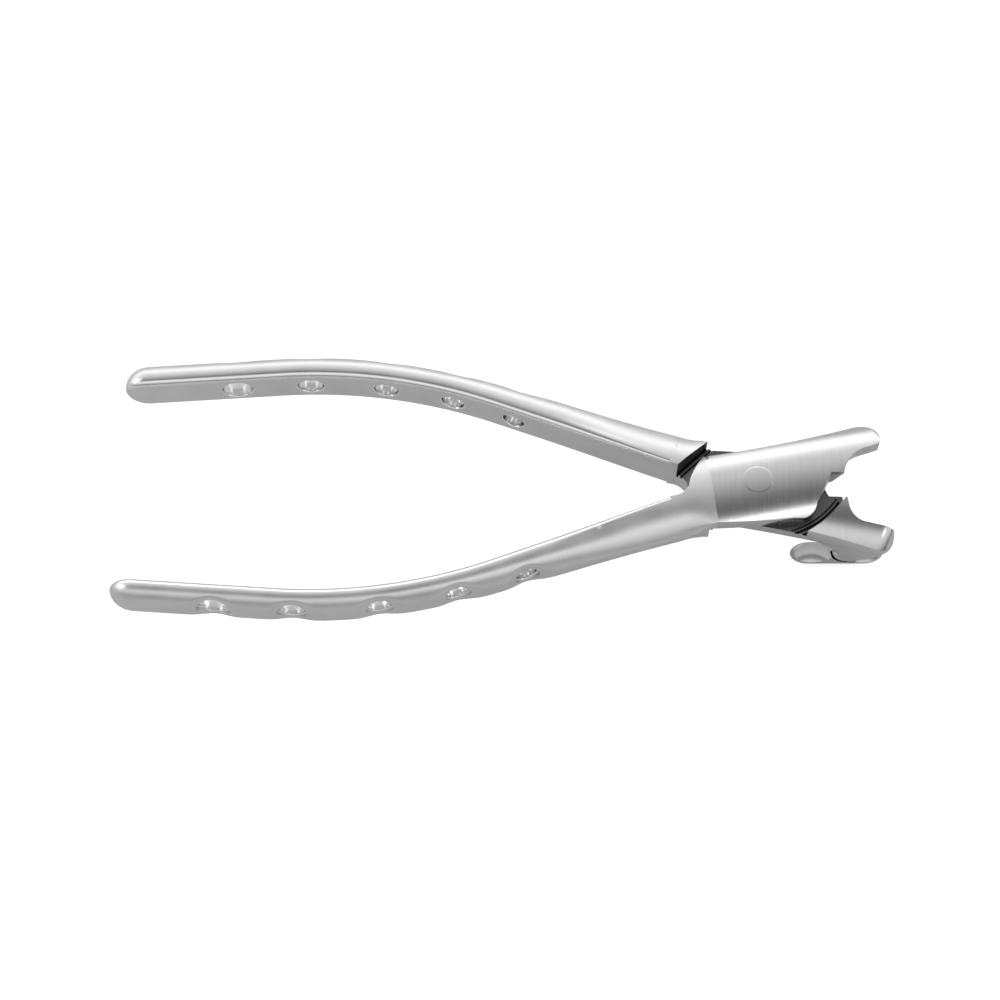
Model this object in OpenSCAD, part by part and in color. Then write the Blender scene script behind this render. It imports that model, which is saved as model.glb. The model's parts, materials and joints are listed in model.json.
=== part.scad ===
// Lap-jointed steel forceps: two forged levers crossed on one flush rivet.
// X runs along the tool with the jaws at +X, Y is the opening direction and Z is the pivot axis.
// The origin is on the pivot axis, on the flat back of the rivet.
// Both levers share one blank. It is drawn as the front lever, with its grip at -Y and its jaw at +Y;
// the rear lever is the same blank turned half a turn about X.

/* [Grips] */
// Width of a grip across its flat inner face
grip_w = 11.4; // [10.4:0.2:12]
// Thickness of the front grip, which has the finger scallops
front_grip_t = 5.4; // [5:0.2:6]
// Thickness of the rear grip, which lies in the palm
rear_grip_t = 6.6; // [6:0.2:7.4]
// Thickness of both levers where they meet the joint
root_t = 9.5; // [9:0.25:10]
// Length of the straight shank between the joint and the bend
shank_len = 42.5; // [40:0.5:44]
// Slope of the shank to the tool's length, in degrees
shank_angle = 20.2; // [19:0.2:21]
// Radius of the bend between shank and grip
bend_r = 120; // [110:5:130]
// How far the bend turns, in degrees
bend_turn = 24; // [22:0.5:25]
// Length of the straight grip beyond the bend
grip_len = 37; // [34:0.5:39]

/* [Grip holes] */
// Diameter of the hole nearest the end of a grip, by which the tool can hang
end_hole_d = 6.8; // [6:0.2:7]
// Diameter of the hole nearest the joint
near_hole_d = 5; // [4.6:0.2:5.4]
// Depth of the finger scallop across each hole of the front grip
front_scallop = 1.85; // [1.2:0.05:2]
// Depth of the scallop across each hole of the rear grip
rear_scallop = 1; // [0.5:0.1:1.4]
// Radius of the scallops, which run across the grip
scallop_r = 7; // [6.5:0.5:9]

/* [Joint] */
// Depth of the joint from dome to dome
joint_depth = 11.5; // [11:0.25:12]
// Radius of the domed faces of the joint
dome_r = 16; // [15:0.5:18]
// Slope of each dome's crest to the tool's length, in degrees
dome_angle = 10.5; // [9:0.5:12]
// Gap between the two lapped faces
lap_gap = 0.1; // [0.06:0.02:0.2]
// Depth of the relief cut beside each shoulder
relief_depth = 1.2; // [0.6:0.1:1.4]
// Width of the relief cut on the grip's side
relief_w = 2; // [1.5:0.1:2.5]

/* [Rivet] */
// Diameter of the rivet's shank
rivet_d = 5; // [4:0.2:5.4]
// Diameter of its closed heads, flush with the domes
rivet_head_d = 6.8; // [6.2:0.2:7.4]
// Depth of the countersink under each head
rivet_sink = 1.6; // [1.2:0.1:2]
// Running clearance round the rivet in the rear lever
rivet_fit = 0.04; // [0.02:0.01:0.08]
// Flat ground on the back of the joint, below the crest of its dome
back_flat = 0.15; // [0.1:0.05:0.3]

/* [Jaws] */
// Radius of the front jaw's rounded tip
front_tip_r = 4.3; // [4:0.1:4.5]
// Radius of the rear jaw's rounded tip
rear_tip_r = 3.2; // [3:0.1:3.4]
// Height of the front jaw's biting edge above the lapped faces
beak_edge = 1; // [0.5:0.1:1.5]
// Slope of the undercut behind that edge, in degrees
beak_undercut = 62; // [58:1:66]

/* [Pad] */
// Length of the rear jaw's cross pad
pad_len = 21.5; // [19:0.5:23]
// Height of the pad
pad_h = 8.6; // [8:0.2:9.2]
// Thickness of the pad
pad_t = 4; // [3.6:0.2:4.4]
// Drop of the pad's middle below the lapped faces
pad_drop = 12.2; // [11.4:0.2:13]

/* [Hidden] */

steel = [0.74, 0.75, 0.77];
rivet_steel = [0.80, 0.80, 0.81];
far = 60;                        // longer than any cut needs
half = joint_depth / 2;          // lapped faces to the crest of a dome
lap_z = half - back_flat;        // height of the lapped faces above the origin
curve_fn = 96;

// Where the inner face of a grip leaves the joint.
root = [-20, -4.2];
// The inner face runs on this far inside the joint, so that grip and joint overlap.
root_run_in = 7;
path_len = shank_len + bend_r * bend_turn * PI / 180 + grip_len;
taper_len = 60;
end_round = 5.5;                 // length of the rounded end of a grip
corner_r = 1.8;                  // round between a grip's inner face and its sides
hole_x_front = [-122.5, -105, -86, -69, -54];
hole_x_rear = [-119.5, -102.5, -85, -69.5, -55.5];

// ---- curves --------------------------------------------------------------------------------------

// Points on a circle's arc.
function arc(centre, r, from, to, n) =
    [for (i = [0 : n]) let (a = from + (to - from) * i / n) centre + r * [cos(a), sin(a)]];

// Points on a shallow bow from p to q that swells by sag to the left of that direction.
function bow(p, q, sag, n) =
    let (side = [p.y - q.y, q.x - p.x] / norm(q - p))
    [for (i = [0 : n]) let (u = i / n) p + (q - p) * u + side * sag * 4 * u * (1 - u)];

// The inner face of a grip, s along it from the root: [x, y, slope].
function shank_end(s) = root - s * [cos(shank_angle), sin(shank_angle)];
function bend_end(turn) =
    let (a = shank_angle - turn)
    shank_end(shank_len) - bend_r * [sin(shank_angle) - sin(a), cos(a) - cos(shank_angle)];
function inner_face(s) =
    let (
        turn = (s - shank_len) / bend_r * 180 / PI,
        last = shank_angle - bend_turn,
        beyond = path_len - grip_len,
        p = s <= shank_len ? shank_end(s)
            : turn <= bend_turn ? bend_end(turn)
            : bend_end(bend_turn) - (s - beyond) * [cos(last), sin(last)],
        slope = shank_angle - max(0, min(turn, bend_turn))
    )
    [p.x, p.y, slope];

// The distance along the inner face at which it reaches x, found by halving.
function along(x, lo = 0, hi = path_len, n = 24) =
    let (mid = (lo + hi) / 2)
    n == 0 ? mid
    : inner_face(mid).x > x ? along(x, mid, hi, n - 1)
    : along(x, lo, mid, n - 1);

// ---- grips ---------------------------------------------------------------------------------------

function grip_thickness(s, grip_t) =
    grip_t + (root_t - grip_t) * pow(max(0, 1 - max(s, 0) / taper_len), 1.3);

// A D-shaped section: the flat is the inner face at u = 0, the back of the D bulges to u = t.
function d_section(t) = concat(
    [for (a = [-90 : 15 : 90]) [corner_r + (t - corner_r) * cos(a), grip_w / 2 * sin(a)]],
    [for (a = [112.5 : 22.5 : 180]) [corner_r + corner_r * cos(a), grip_w / 2 + corner_r * (sin(a) - 1)]],
    [for (a = [180 : 22.5 : 247.5]) [corner_r + corner_r * cos(a), corner_r * (sin(a) + 1) - grip_w / 2]]
);

// One ring of the grip, shrunk by k towards the middle of its inner face.
function grip_ring(s, t, k) =
    let (p = inner_face(s), outward = [sin(p.z), -cos(p.z)], keep = t / 4)
    [for (q = d_section(t)) let (u = keep + (q.x - keep) * k)
        [p.x + outward.x * u, p.y + outward.y * u, q.y * k]];

// A closed skin over rings that all have the same number of points.
module skin(rings) {
    n = len(rings[0]);
    last = len(rings) - 1;
    sides = [for (i = [0 : last - 1], j = [0 : n - 1])
        let (a = i * n + j, b = i * n + (j + 1) % n)
        each [[a, a + n, b], [b, a + n, b + n]]];
    ends = [[for (j = [0 : n - 1]) j], [for (j = [n - 1 : -1 : 0]) last * n + j]];
    polyhedron([for (r = rings) each r], concat(sides, ends), convexity = 4);
}

module grip_bar(grip_t) {
    straight = path_len - end_round;
    body = [for (i = [0 : 30]) let (s = (straight + root_run_in) * i / 30 - root_run_in)
        grip_ring(s, grip_thickness(s, grip_t), 1)];
    round_end = [for (a = [18, 36, 52, 66, 77, 85]) grip_ring(straight + end_round * sin(a), grip_t, cos(a))];
    skin(concat(body, round_end));
}

// One hole through the grip, square to its inner face, with the scallop across the outer side.
module grip_hole(x, d, grip_t, scallop) {
    s = along(x);
    p = inner_face(s);
    t = grip_thickness(s, grip_t);
    translate([p.x, p.y, 0]) rotate([0, 0, p.z]) rotate([90, 0, 0]) {
        translate([0, 0, -5]) cylinder(h = t + 10, d = d, $fn = curve_fn);
        translate([0, 0, t + scallop_r - scallop]) rotate([90, 0, 0])
            cylinder(h = 2 * grip_w, r = scallop_r, center = true, $fn = curve_fn);
    }
}

module grip(grip_t, hole_x, scallop) {
    last = len(hole_x) - 1;
    difference() {
        grip_bar(grip_t);
        for (i = [0 : last]) {
            shrink = pow(i / last, 0.5);
            grip_hole(hole_x[i], end_hole_d + (near_hole_d - end_hole_d) * shrink, grip_t, scallop);
        }
    }
}

// ---- joint ---------------------------------------------------------------------------------------

// Outline of the joint plate and jaw. tip and notch are circles, each [centre, radius].
function head_outline(tip, notch) = concat(
    arc([-19.6, 0.4], 4.4, -80, -28, 4),
    bow([-15.3, 0.4], [-12.1, 6.9], 0.2, 3),
    bow([-11.8, 7], tip[0] + tip[1] * [cos(106), sin(106)], -0.8, 8),
    arc(tip[0], tip[1], 90, -20, 8),
    arc(notch[0], notch[1], 100, 165, 8),
    [[19.7, 1.8], [16.7, 1.7]],
    bow([16.3, 1], [13.4, -5], 0.1, 3),
    arc([9.8, -4.7], 3.6, -12, -80, 5),
    bow([8, -8.3], [-9.4, -10.3], 0.2, 4),
    [[-13, -9]]
);

front_tip = [[24.2, 10.9], front_tip_r];
front_notch = [[27.2, 1.2], 7.4];
rear_tip = [[27.5, 12.6], rear_tip_r];
rear_notch = [[25.2, 5.2], 4.9];

// One dome: a long cylinder whose crest lies half above the lapped faces.
module dome() {
    translate([0, -0.4, half - dome_r]) rotate([0, 0, dome_angle]) rotate([0, 90, 0])
        cylinder(h = 2 * far, r = dome_r, center = true, $fn = curve_fn);
}

module head(tip, notch) {
    intersection() {
        linear_extrude(joint_depth, center = true) polygon(head_outline(tip, notch));
        dome();
        mirror([0, 0, 1]) dome();
    }
}

// Everything between the two shoulders, where the other lever's plate lies.
grip_shoulder = [[-11.9, -9.5], [-18.6, -3.2]];
jaw_shoulder = bow([9.1, 12.2], [19.7, 4.3], 1.1, 8);
// Edge of the lapped face beside the jaw's shoulder; the relief cut lies beyond it.
lap_edge = [[14.7, 3.2], [8.9, 11.2]];

module lap_plan() {
    run = (grip_shoulder[1] - grip_shoulder[0]) / norm(grip_shoulder[1] - grip_shoulder[0]);
    polygon(concat([grip_shoulder[0] - 9 * run, grip_shoulder[1] + 14 * run, [3, 16.5]], jaw_shoulder,
        [[26, 4.9], [26, -16]]));
}

module relief_plan() {
    side = relief_w * [0.685, 0.728];
    run = (grip_shoulder[1] - grip_shoulder[0]) * 0.4;
    polygon([grip_shoulder[0] - run, grip_shoulder[1] + run, grip_shoulder[1] + run + side,
        grip_shoulder[0] - run + side]);
    polygon(concat(jaw_shoulder, [[21, 2.6], [16.5, 0.8]], lap_edge, [[6, 14]]));
}

// Removes the back half of a lever between its shoulders, with the relief cuts beside them.
module lap_cut() {
    translate([0, 0, lap_gap / 2 - far]) linear_extrude(far) lap_plan();
    translate([0, 0, lap_gap / 2 - 1]) linear_extrude(1 + relief_depth) relief_plan();
}

// The rivet's shape from z = -low to z = high, countersunk at both ends and enlarged by play.
module rivet_shape(low, high, play) {
    shank_r = rivet_d / 2 + play;
    neck = half - rivet_sink;
    flare = (rivet_head_d - rivet_d) / 2 / rivet_sink;
    rotate_extrude($fn = curve_fn) polygon([[0, -low], [shank_r + (low - neck) * flare, -low], [shank_r, -neck],
        [shank_r, neck], [shank_r + (high - neck) * flare, high], [0, high]]);
}

// Everything behind the flat on the back of the joint.
module below_flat() {
    translate([-far, -far, -lap_z - far]) cube([2 * far, 2 * far, far]);
}

module lever(grip_t, hole_x, scallop, tip, notch, play) {
    difference() {
        union() {
            grip(grip_t, hole_x, scallop);
            head(tip, notch);
        }
        lap_cut();
        rivet_shape(half + 1, half + 1, play);
    }
}

// ---- jaws ----------------------------------------------------------------------------------------

// The undercut that leaves the front jaw a thin biting edge.
module beak_undercut() {
    translate([21.6, 6.9, beak_edge]) rotate([0, 0, 18]) rotate([-beak_undercut, 0, 0])
        translate([0, -far / 2, -far]) cube(far);
}

// The neck under the rear jaw, drawn on the rear lever in its own place.
module pad_neck() {
    hull() {
        translate([15.2, -9.6, -3]) sphere(r = 2.1, $fn = 32);
        translate([26.6, -12, -1.4]) sphere(r = 2.2, $fn = 32);
        translate([21, -10.5, -4]) sphere(r = 2.4, $fn = 32);
        translate([20.6, -10.9, -pad_drop + 3]) sphere(r = 1.9, $fn = 32);
    }
}

module pad_bar() {
    difference() {
        hull() for (side = [-1, 1]) translate([19.3 + side * (pad_len - pad_h) / 2, -10.6, -pad_drop])
            scale([1, pad_t / pad_h, 1]) sphere(d = pad_h, $fn = 32);
        for (side = [-1, 1]) translate([19.3 + side * 6, -10.6 - pad_t / 2 - 8.4, -pad_drop])
            sphere(r = 9, $fn = curve_fn);
    }
}

// ---- the three pieces ----------------------------------------------------------------------------

// Lower-left grip, front half of the joint, upper-right jaw.
module front_lever() {
    color(steel) translate([0, 0, lap_z]) difference() {
        lever(front_grip_t, hole_x_front, front_scallop, front_tip, front_notch, 0);
        beak_undercut();
    }
}

// Upper-left grip, back half of the joint, lower-right jaw with its neck and pad.
module rear_lever() {
    color(steel) translate([0, 0, lap_z]) {
        difference() {
            rotate([180, 0, 0]) lever(rear_grip_t, hole_x_rear, rear_scallop, rear_tip, rear_notch, rivet_fit);
            below_flat();
        }
        pad_neck();
        pad_bar();
    }
}

// Flush pivot rivet, closed into the front lever and turning in the rear one.
module pivot_rivet() {
    color(rivet_steel) translate([0, 0, lap_z]) intersection() {
        rivet_shape(lap_z, half + 1, 0);
        dome();
    }
}

front_lever();
rear_lever();
pivot_rivet();
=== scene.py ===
"""Lap-jointed steel forceps: two forged levers on one flush rivet, dressed in satin and brushed steel.

Lengths are millimetres about the lapped faces of the joint until a finished mesh is placed, which turns them
into metres in the shared frame.
"""

import json
import logging
import math
from dataclasses import dataclass, field
from enum import Enum

import bmesh
import bpy
from mathutils import Matrix, Vector

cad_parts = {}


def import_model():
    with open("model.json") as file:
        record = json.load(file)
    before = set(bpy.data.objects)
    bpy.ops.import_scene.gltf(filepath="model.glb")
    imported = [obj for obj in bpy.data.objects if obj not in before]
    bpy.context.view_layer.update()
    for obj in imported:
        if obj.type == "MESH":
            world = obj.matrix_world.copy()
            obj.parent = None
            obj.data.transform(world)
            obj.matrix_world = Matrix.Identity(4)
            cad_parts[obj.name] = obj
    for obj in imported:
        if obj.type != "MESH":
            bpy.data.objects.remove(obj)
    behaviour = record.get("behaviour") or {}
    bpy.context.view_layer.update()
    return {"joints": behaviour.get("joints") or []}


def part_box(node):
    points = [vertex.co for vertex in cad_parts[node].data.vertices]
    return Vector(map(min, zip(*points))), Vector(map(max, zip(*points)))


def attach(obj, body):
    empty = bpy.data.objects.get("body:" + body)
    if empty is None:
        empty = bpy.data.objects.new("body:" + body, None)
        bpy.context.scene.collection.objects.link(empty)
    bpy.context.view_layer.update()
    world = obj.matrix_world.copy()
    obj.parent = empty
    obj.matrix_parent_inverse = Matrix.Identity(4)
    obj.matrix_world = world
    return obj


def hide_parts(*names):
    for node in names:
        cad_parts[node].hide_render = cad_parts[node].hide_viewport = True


MM = 0.001
FLAT_STEPS = 5
CORNER_STEPS = 6
BULGE_STEPS = 24
GRIP_RINGS = 240
END_RINGS = 14
ROUND_STEPS = 72
log = logging.getLogger("forceps")

Point = tuple[float, float]
Place = tuple[float, float, float]
Colour = tuple[float, float, float, float]
Outline = list[Point]


class Cut(Enum):
    """What a second solid does to the first."""

    JOIN = "UNION"
    REMOVE = "DIFFERENCE"


class Turn(Enum):
    """How a lever lies in the tool: as its blank is drawn, or half a turn about the long axis."""

    AS_DRAWN = 0.0
    HALF_TURN = math.pi


# ---- plan curves ---------------------------------------------------------------------------------


def arc(centre: Point, radius: float, start: float, stop: float, steps: int) -> Outline:
    """Points on a circle.

    Args:
        centre: middle of the circle.
        radius: its radius.
        start: first angle in degrees.
        stop: last angle in degrees.
        steps: number of chords.

    Returns:
        steps + 1 points from start to stop.
    """
    angles = [math.radians(start + (stop - start) * i / steps) for i in range(steps + 1)]
    return [(centre[0] + radius * math.cos(a), centre[1] + radius * math.sin(a)) for a in angles]


def bow(first: Point, last: Point, sag: float, steps: int) -> Outline:
    """Points on a shallow bow between two ends.

    Args:
        first: start of the bow.
        last: end of the bow.
        sag: how far it swells to the left of its direction.
        steps: number of chords.

    Returns:
        steps + 1 points.
    """
    run = Vector(last) - Vector(first)
    side = Vector((-run.y, run.x)).normalized()
    points = []
    for i in range(steps + 1):
        u = i / steps
        point = Vector(first) + run * u + side * (sag * 4 * u * (1 - u))
        points.append((point.x, point.y))
    return points


def soft_min(first: float, second: float, blend: float) -> float:
    """The lower of two numbers, rounded off where they are within blend of each other."""
    near = max(blend - abs(first - second), 0.0) / blend
    return min(first, second) - near * near * blend / 4


def ease(value: float, low: float, high: float) -> float:
    """A smooth step that is 0 at low and 1 at high."""
    u = min(1.0, max(0.0, (value - low) / (high - low)))
    return u * u * (3 - 2 * u)


# ---- solids --------------------------------------------------------------------------------------


def make_object(bm: bmesh.types.BMesh, name: str, finishes: list[bpy.types.Material]) -> bpy.types.Object:
    """Turns a finished bmesh into an object with its materials.

    Args:
        bm: the mesh, which is freed.
        name: the object's name.
        finishes: its materials in slot order.

    Returns:
        The new object, linked to the scene.
    """
    mesh = bpy.data.meshes.new(name)
    bm.to_mesh(mesh)
    bm.free()
    for finish in finishes:
        mesh.materials.append(finish)
    made = bpy.data.objects.new(name, mesh)
    bpy.context.scene.collection.objects.link(made)
    return made


def prism(outline: Outline, low: float, high: float) -> bmesh.types.BMesh:
    """An upright solid over a plan outline.

    Args:
        outline: the plan, anticlockwise.
        low: height of its lower face.
        high: height of its upper face.

    Returns:
        The closed solid.
    """
    bm = bmesh.new()
    corners = [bm.verts.new((x, y, low)) for x, y in outline]
    base = bm.faces.new(corners)
    grown = bmesh.ops.extrude_face_region(bm, geom=[base])
    raised = [item for item in grown["geom"] if isinstance(item, bmesh.types.BMVert)]
    bmesh.ops.translate(bm, verts=raised, vec=(0, 0, high - low))
    bmesh.ops.recalc_face_normals(bm, faces=bm.faces)
    return bm


def turned(profile: Outline, steps: int) -> bmesh.types.BMesh:
    """A solid turned about the Z axis from a profile that starts and ends on it.

    Args:
        profile: (radius, height) points.
        steps: facets round the axis.

    Returns:
        The closed solid.
    """
    bm = bmesh.new()
    line = [bm.verts.new((r, 0, z)) for r, z in profile]
    edges = [bm.edges.new(pair) for pair in zip(line, line[1:])]
    bmesh.ops.spin(
        bm, geom=line + edges, cent=(0, 0, 0), axis=(0, 0, 1), dvec=(0, 0, 0),
        angle=math.tau, steps=steps, use_merge=True, use_duplicate=False,
    )
    bmesh.ops.remove_doubles(bm, verts=bm.verts, dist=1e-4)
    bmesh.ops.recalc_face_normals(bm, faces=bm.faces)
    return bm


def combine(body: bpy.types.Object, tool: bpy.types.Object, how: Cut) -> None:
    """Joins a tool solid to a body or cuts it away, and deletes the tool.

    Args:
        body: the solid that is changed.
        tool: the solid that changes it.
        how: whether it is joined or removed.
    """
    modifier = body.modifiers.new("combine", "BOOLEAN")
    modifier.operation = how.value
    modifier.solver = "EXACT"
    modifier.material_mode = "TRANSFER"
    modifier.object = tool
    bpy.context.view_layer.update()
    graph = bpy.context.evaluated_depsgraph_get()
    result = bpy.data.meshes.new_from_object(body.evaluated_get(graph))
    body.modifiers.clear()
    body.data = result
    bpy.data.objects.remove(tool)


def sharp_edges(bm: bmesh.types.BMesh, angle: float) -> list[bmesh.types.BMEdge]:
    """The edges whose faces meet at more than an angle in degrees."""
    limit = math.radians(angle)
    return [e for e in bm.edges if len(e.link_faces) == 2 and e.calc_face_angle(0.0) > limit]


def round_edges(bm: bmesh.types.BMesh, edges: list[bmesh.types.BMEdge], width: float, segments: int) -> None:
    """Rounds edges to a width with a number of segments."""
    bmesh.ops.bevel(
        bm, geom=edges, offset=width, offset_type="OFFSET", segments=segments, profile=0.5,
        affect="EDGES", clamp_overlap=True, material=-1,
    )


def rule_grid(bm: bmesh.types.BMesh, pitch: float) -> None:
    """Rules a mesh with upright planes along X and Y, so that its flat faces can follow a curve.

    Args:
        bm: the mesh.
        pitch: distance between two planes.
    """
    xs = [v.co.x for v in bm.verts]
    ys = [v.co.y for v in bm.verts]
    for axis, values in ((Vector((1, 0, 0)), xs), (Vector((0, 1, 0)), ys)):
        count = int((max(values) - min(values)) / pitch)
        for i in range(1, count + 1):
            place = axis * (min(values) + pitch * (i - 0.5))
            geom = list(bm.verts) + list(bm.edges) + list(bm.faces)
            bmesh.ops.bisect_plane(bm, geom=geom, dist=1e-4, plane_co=place, plane_no=axis)


# ---- finishes ------------------------------------------------------------------------------------


class Sheet:
    """Adds and links the nodes of one tree."""

    def __init__(self, tree: bpy.types.NodeTree) -> None:
        """Keeps the tree and empties it."""
        self.tree = tree
        tree.nodes.clear()

    def add(self, kind: str, **values: object) -> bpy.types.Node:
        """Adds a node.

        Args:
            kind: its type name.
            values: properties of the node.

        Returns:
            The node.
        """
        made = self.tree.nodes.new(kind)
        for key, value in values.items():
            setattr(made, key, value)
        return made

    def feed(self, node: bpy.types.Node, name: str | int, source: object) -> None:
        """Gives an input a constant or the output of another node.

        Args:
            node: the node that takes it.
            name: the input's name or number.
            source: a constant, or a socket to link.
        """
        if isinstance(source, bpy.types.NodeSocket):
            self.tree.links.new(source, node.inputs[name])
        else:
            node.inputs[name].default_value = source

    def sum(self, operation: str, *sources: object, clamp: bool = False) -> bpy.types.NodeSocket:
        """Works out one number.

        Args:
            operation: the Math node's operation.
            sources: its numbers or sockets.
            clamp: whether the result is kept between 0 and 1.

        Returns:
            The result's socket.
        """
        made = self.add("ShaderNodeMath", operation=operation, use_clamp=clamp)
        for i, source in enumerate(sources):
            self.feed(made, i, source)
        return made.outputs[0]

    def noise(self, place: bpy.types.NodeSocket, scale: float, detail: float) -> bpy.types.NodeSocket:
        """A noise between 0 and 1.

        Args:
            place: where it is read.
            scale: how fine it is, per metre.
            detail: how many finer layers it has.

        Returns:
            The noise's socket.
        """
        made = self.add("ShaderNodeTexNoise")
        self.feed(made, "Vector", place)
        self.feed(made, "Scale", scale)
        self.feed(made, "Detail", detail)
        return made.outputs[0]

    def stretch(self, place: bpy.types.NodeSocket, scale: Place) -> bpy.types.NodeSocket:
        """A place scaled by its own factor along each axis.

        Args:
            place: the place.
            scale: the three factors.

        Returns:
            The scaled place's socket.
        """
        made = self.add("ShaderNodeMapping")
        self.feed(made, "Vector", place)
        self.feed(made, "Scale", scale)
        return made.outputs[0]

    def blend(self, factor: object, low: object, high: object) -> bpy.types.NodeSocket:
        """A number between two others.

        Args:
            factor: how far it lies from low to high.
            low: the number at 0.
            high: the number at 1.

        Returns:
            The number's socket.
        """
        made = self.add("ShaderNodeMix", data_type="FLOAT")
        self.feed(made, 0, factor)
        self.feed(made, 2, low)
        self.feed(made, 3, high)
        return made.outputs[0]

    def tint(self, factor: object, low: object, high: object) -> bpy.types.NodeSocket:
        """A colour between two others.

        Args:
            factor: how far it lies from low to high.
            low: the colour at 0.
            high: the colour at 1.

        Returns:
            The colour's socket.
        """
        made = self.add("ShaderNodeMix", data_type="RGBA")
        self.feed(made, 0, factor)
        self.feed(made, 6, low)
        self.feed(made, 7, high)
        return made.outputs[2]


def steel_surface_group() -> bpy.types.NodeTree:
    """The surface of forged steel: a blasted grain, and brush marks beyond a slanted line across the joint.

    Returns:
        A group whose outputs are Tone, Rough and Height.
    """
    name = "steel_surface"
    if name in bpy.data.node_groups:
        return bpy.data.node_groups[name]
    tree = bpy.data.node_groups.new(name, "ShaderNodeTree")
    face = tree.interface
    for label, value in (("Grain", 0.5), ("Brush", 0.5), ("Blasted rough", 0.3), ("Brushed rough", 0.25),
                         ("Line", -0.0107), ("Slant", 0.14)):
        face.new_socket(name=label, in_out="INPUT", socket_type="NodeSocketFloat").default_value = value
    for label in ("Tone", "Rough", "Height"):
        face.new_socket(name=label, in_out="OUTPUT", socket_type="NodeSocketFloat")
    sheet = Sheet(tree)
    given = sheet.add("NodeGroupInput").outputs
    place = sheet.add("ShaderNodeTexCoord").outputs["Object"]
    split = sheet.add("ShaderNodeSeparateXYZ")
    sheet.feed(split, 0, place)
    slanted = sheet.sum("MULTIPLY_ADD", split.outputs[1], given["Slant"], split.outputs[0])
    beyond = sheet.sum("SUBTRACT", slanted, given["Line"])
    brushed = sheet.sum("MULTIPLY", beyond, 4000.0, clamp=True)

    grain = sheet.noise(place, scale=3200.0, detail=2.0)
    cloud = sheet.noise(place, scale=160.0, detail=3.0)
    marks = sheet.noise(sheet.stretch(place, (2600.0, 120.0, 300.0)), scale=1.0, detail=3.0)
    bands = sheet.noise(sheet.stretch(place, (1300.0, 90.0, 120.0)), scale=1.0, detail=3.0)

    grain_height = sheet.sum("MULTIPLY", grain, given["Grain"])
    brush_height = sheet.sum("MULTIPLY", marks, given["Brush"])
    height = sheet.blend(brushed, grain_height, brush_height)
    rough_base = sheet.blend(brushed, given["Blasted rough"], given["Brushed rough"])
    rough_cloud = sheet.sum("MULTIPLY_ADD", cloud, 0.10, -0.05)
    rough_marks = sheet.sum("MULTIPLY_ADD", marks, 0.12, -0.06)
    rough_patch = sheet.blend(brushed, rough_cloud, rough_marks)
    rough = sheet.sum("ADD", rough_base, rough_patch)
    tone_blasted = sheet.sum("MULTIPLY_ADD", cloud, 0.6, 0.3)
    streaks = sheet.sum("ADD", bands, marks)
    tone_brushed = sheet.sum("MULTIPLY_ADD", streaks, 0.25, -0.05, clamp=True)
    tone = sheet.blend(brushed, tone_blasted, tone_brushed)

    out = sheet.add("NodeGroupOutput")
    sheet.feed(out, "Tone", tone)
    sheet.feed(out, "Rough", rough)
    sheet.feed(out, "Height", height)
    return tree


@dataclass(frozen=True)
class SteelFinish:
    """One finish of stainless steel.

    The two tones are mixed by the surface's own variation. Grain and brush are the depths of the two
    textures, and line and slant place the edge of the brushed area in metres.
    """

    name: str
    dark: Colour
    light: Colour
    blasted_rough: float
    brushed_rough: float
    grain: float = 0.5
    brush: float = 0.5
    relief: float = 0.00002
    line: float = -0.0107
    slant: float = 0.14

    def material(self) -> bpy.types.Material:
        """Builds the material, or finds it if it is there already.

        Returns:
            The material.
        """
        if self.name in bpy.data.materials:
            return bpy.data.materials[self.name]
        made = bpy.data.materials.new(self.name)
        made.use_nodes = True
        sheet = Sheet(made.node_tree)
        shader = sheet.add("ShaderNodeBsdfPrincipled")
        surface = sheet.add("ShaderNodeGroup", node_tree=steel_surface_group())
        for label, value in (("Grain", self.grain), ("Brush", self.brush),
                             ("Blasted rough", self.blasted_rough), ("Brushed rough", self.brushed_rough),
                             ("Line", self.line), ("Slant", self.slant)):
            sheet.feed(surface, label, value)
        bump = sheet.add("ShaderNodeBump")
        sheet.feed(bump, "Strength", 0.35)
        sheet.feed(bump, "Distance", self.relief)
        sheet.feed(bump, "Height", surface.outputs["Height"])
        sheet.feed(shader, "Metallic", 1.0)
        sheet.feed(shader, "Base Color", sheet.tint(surface.outputs["Tone"], self.dark, self.light))
        sheet.feed(shader, "Roughness", surface.outputs["Rough"])
        sheet.feed(shader, "Normal", bump.outputs[0])
        out = sheet.add("ShaderNodeOutputMaterial")
        sheet.feed(out, "Surface", shader.outputs[0])
        return made


def grey(value: float) -> Colour:
    """A neutral colour of a brightness."""
    return (value, value, value, 1)


SATIN_DARK = grey(0.60)
SATIN_LIGHT = (0.84, 0.84, 0.845, 1)
WALL_DARK = (0.76, 0.76, 0.77, 1)
WALL_LIGHT = (0.9, 0.9, 0.91, 1)
FRONT_STEEL = SteelFinish("front_steel", SATIN_DARK, SATIN_LIGHT, 0.40, 0.21)
REAR_STEEL = SteelFinish("rear_steel", SATIN_DARK, SATIN_LIGHT, 0.40, 0.21, slant=-0.14)
RIVET_STEEL = SteelFinish("closed_rivet", grey(0.62), grey(0.74), 0.30, 0.24, brush=0.4)
POLISHED_WALL = SteelFinish("polished_wall", WALL_DARK, WALL_LIGHT, 0.16, 0.16, grain=0.1)
# Lighter, smoother finish of the grip corners and pad dishes: partly burnished steel, partly a painted
# highlight where these faces catch the light.
BURNISH_AND_HIGHLIGHT = SteelFinish("burnish_and_painted_highlight", grey(0.82), grey(0.94), 0.24, 0.2, grain=0.2)
# Dark finish of the lapped faces: partly the dark residue the lap carries, partly painted shade for the
# shadow of the overlapping plate.
LAPPED_RESIDUE_AND_SHADE = SteelFinish("lapped_residue_and_shade", grey(0.10), grey(0.30), 0.30, 0.26, brush=0.9)
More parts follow.
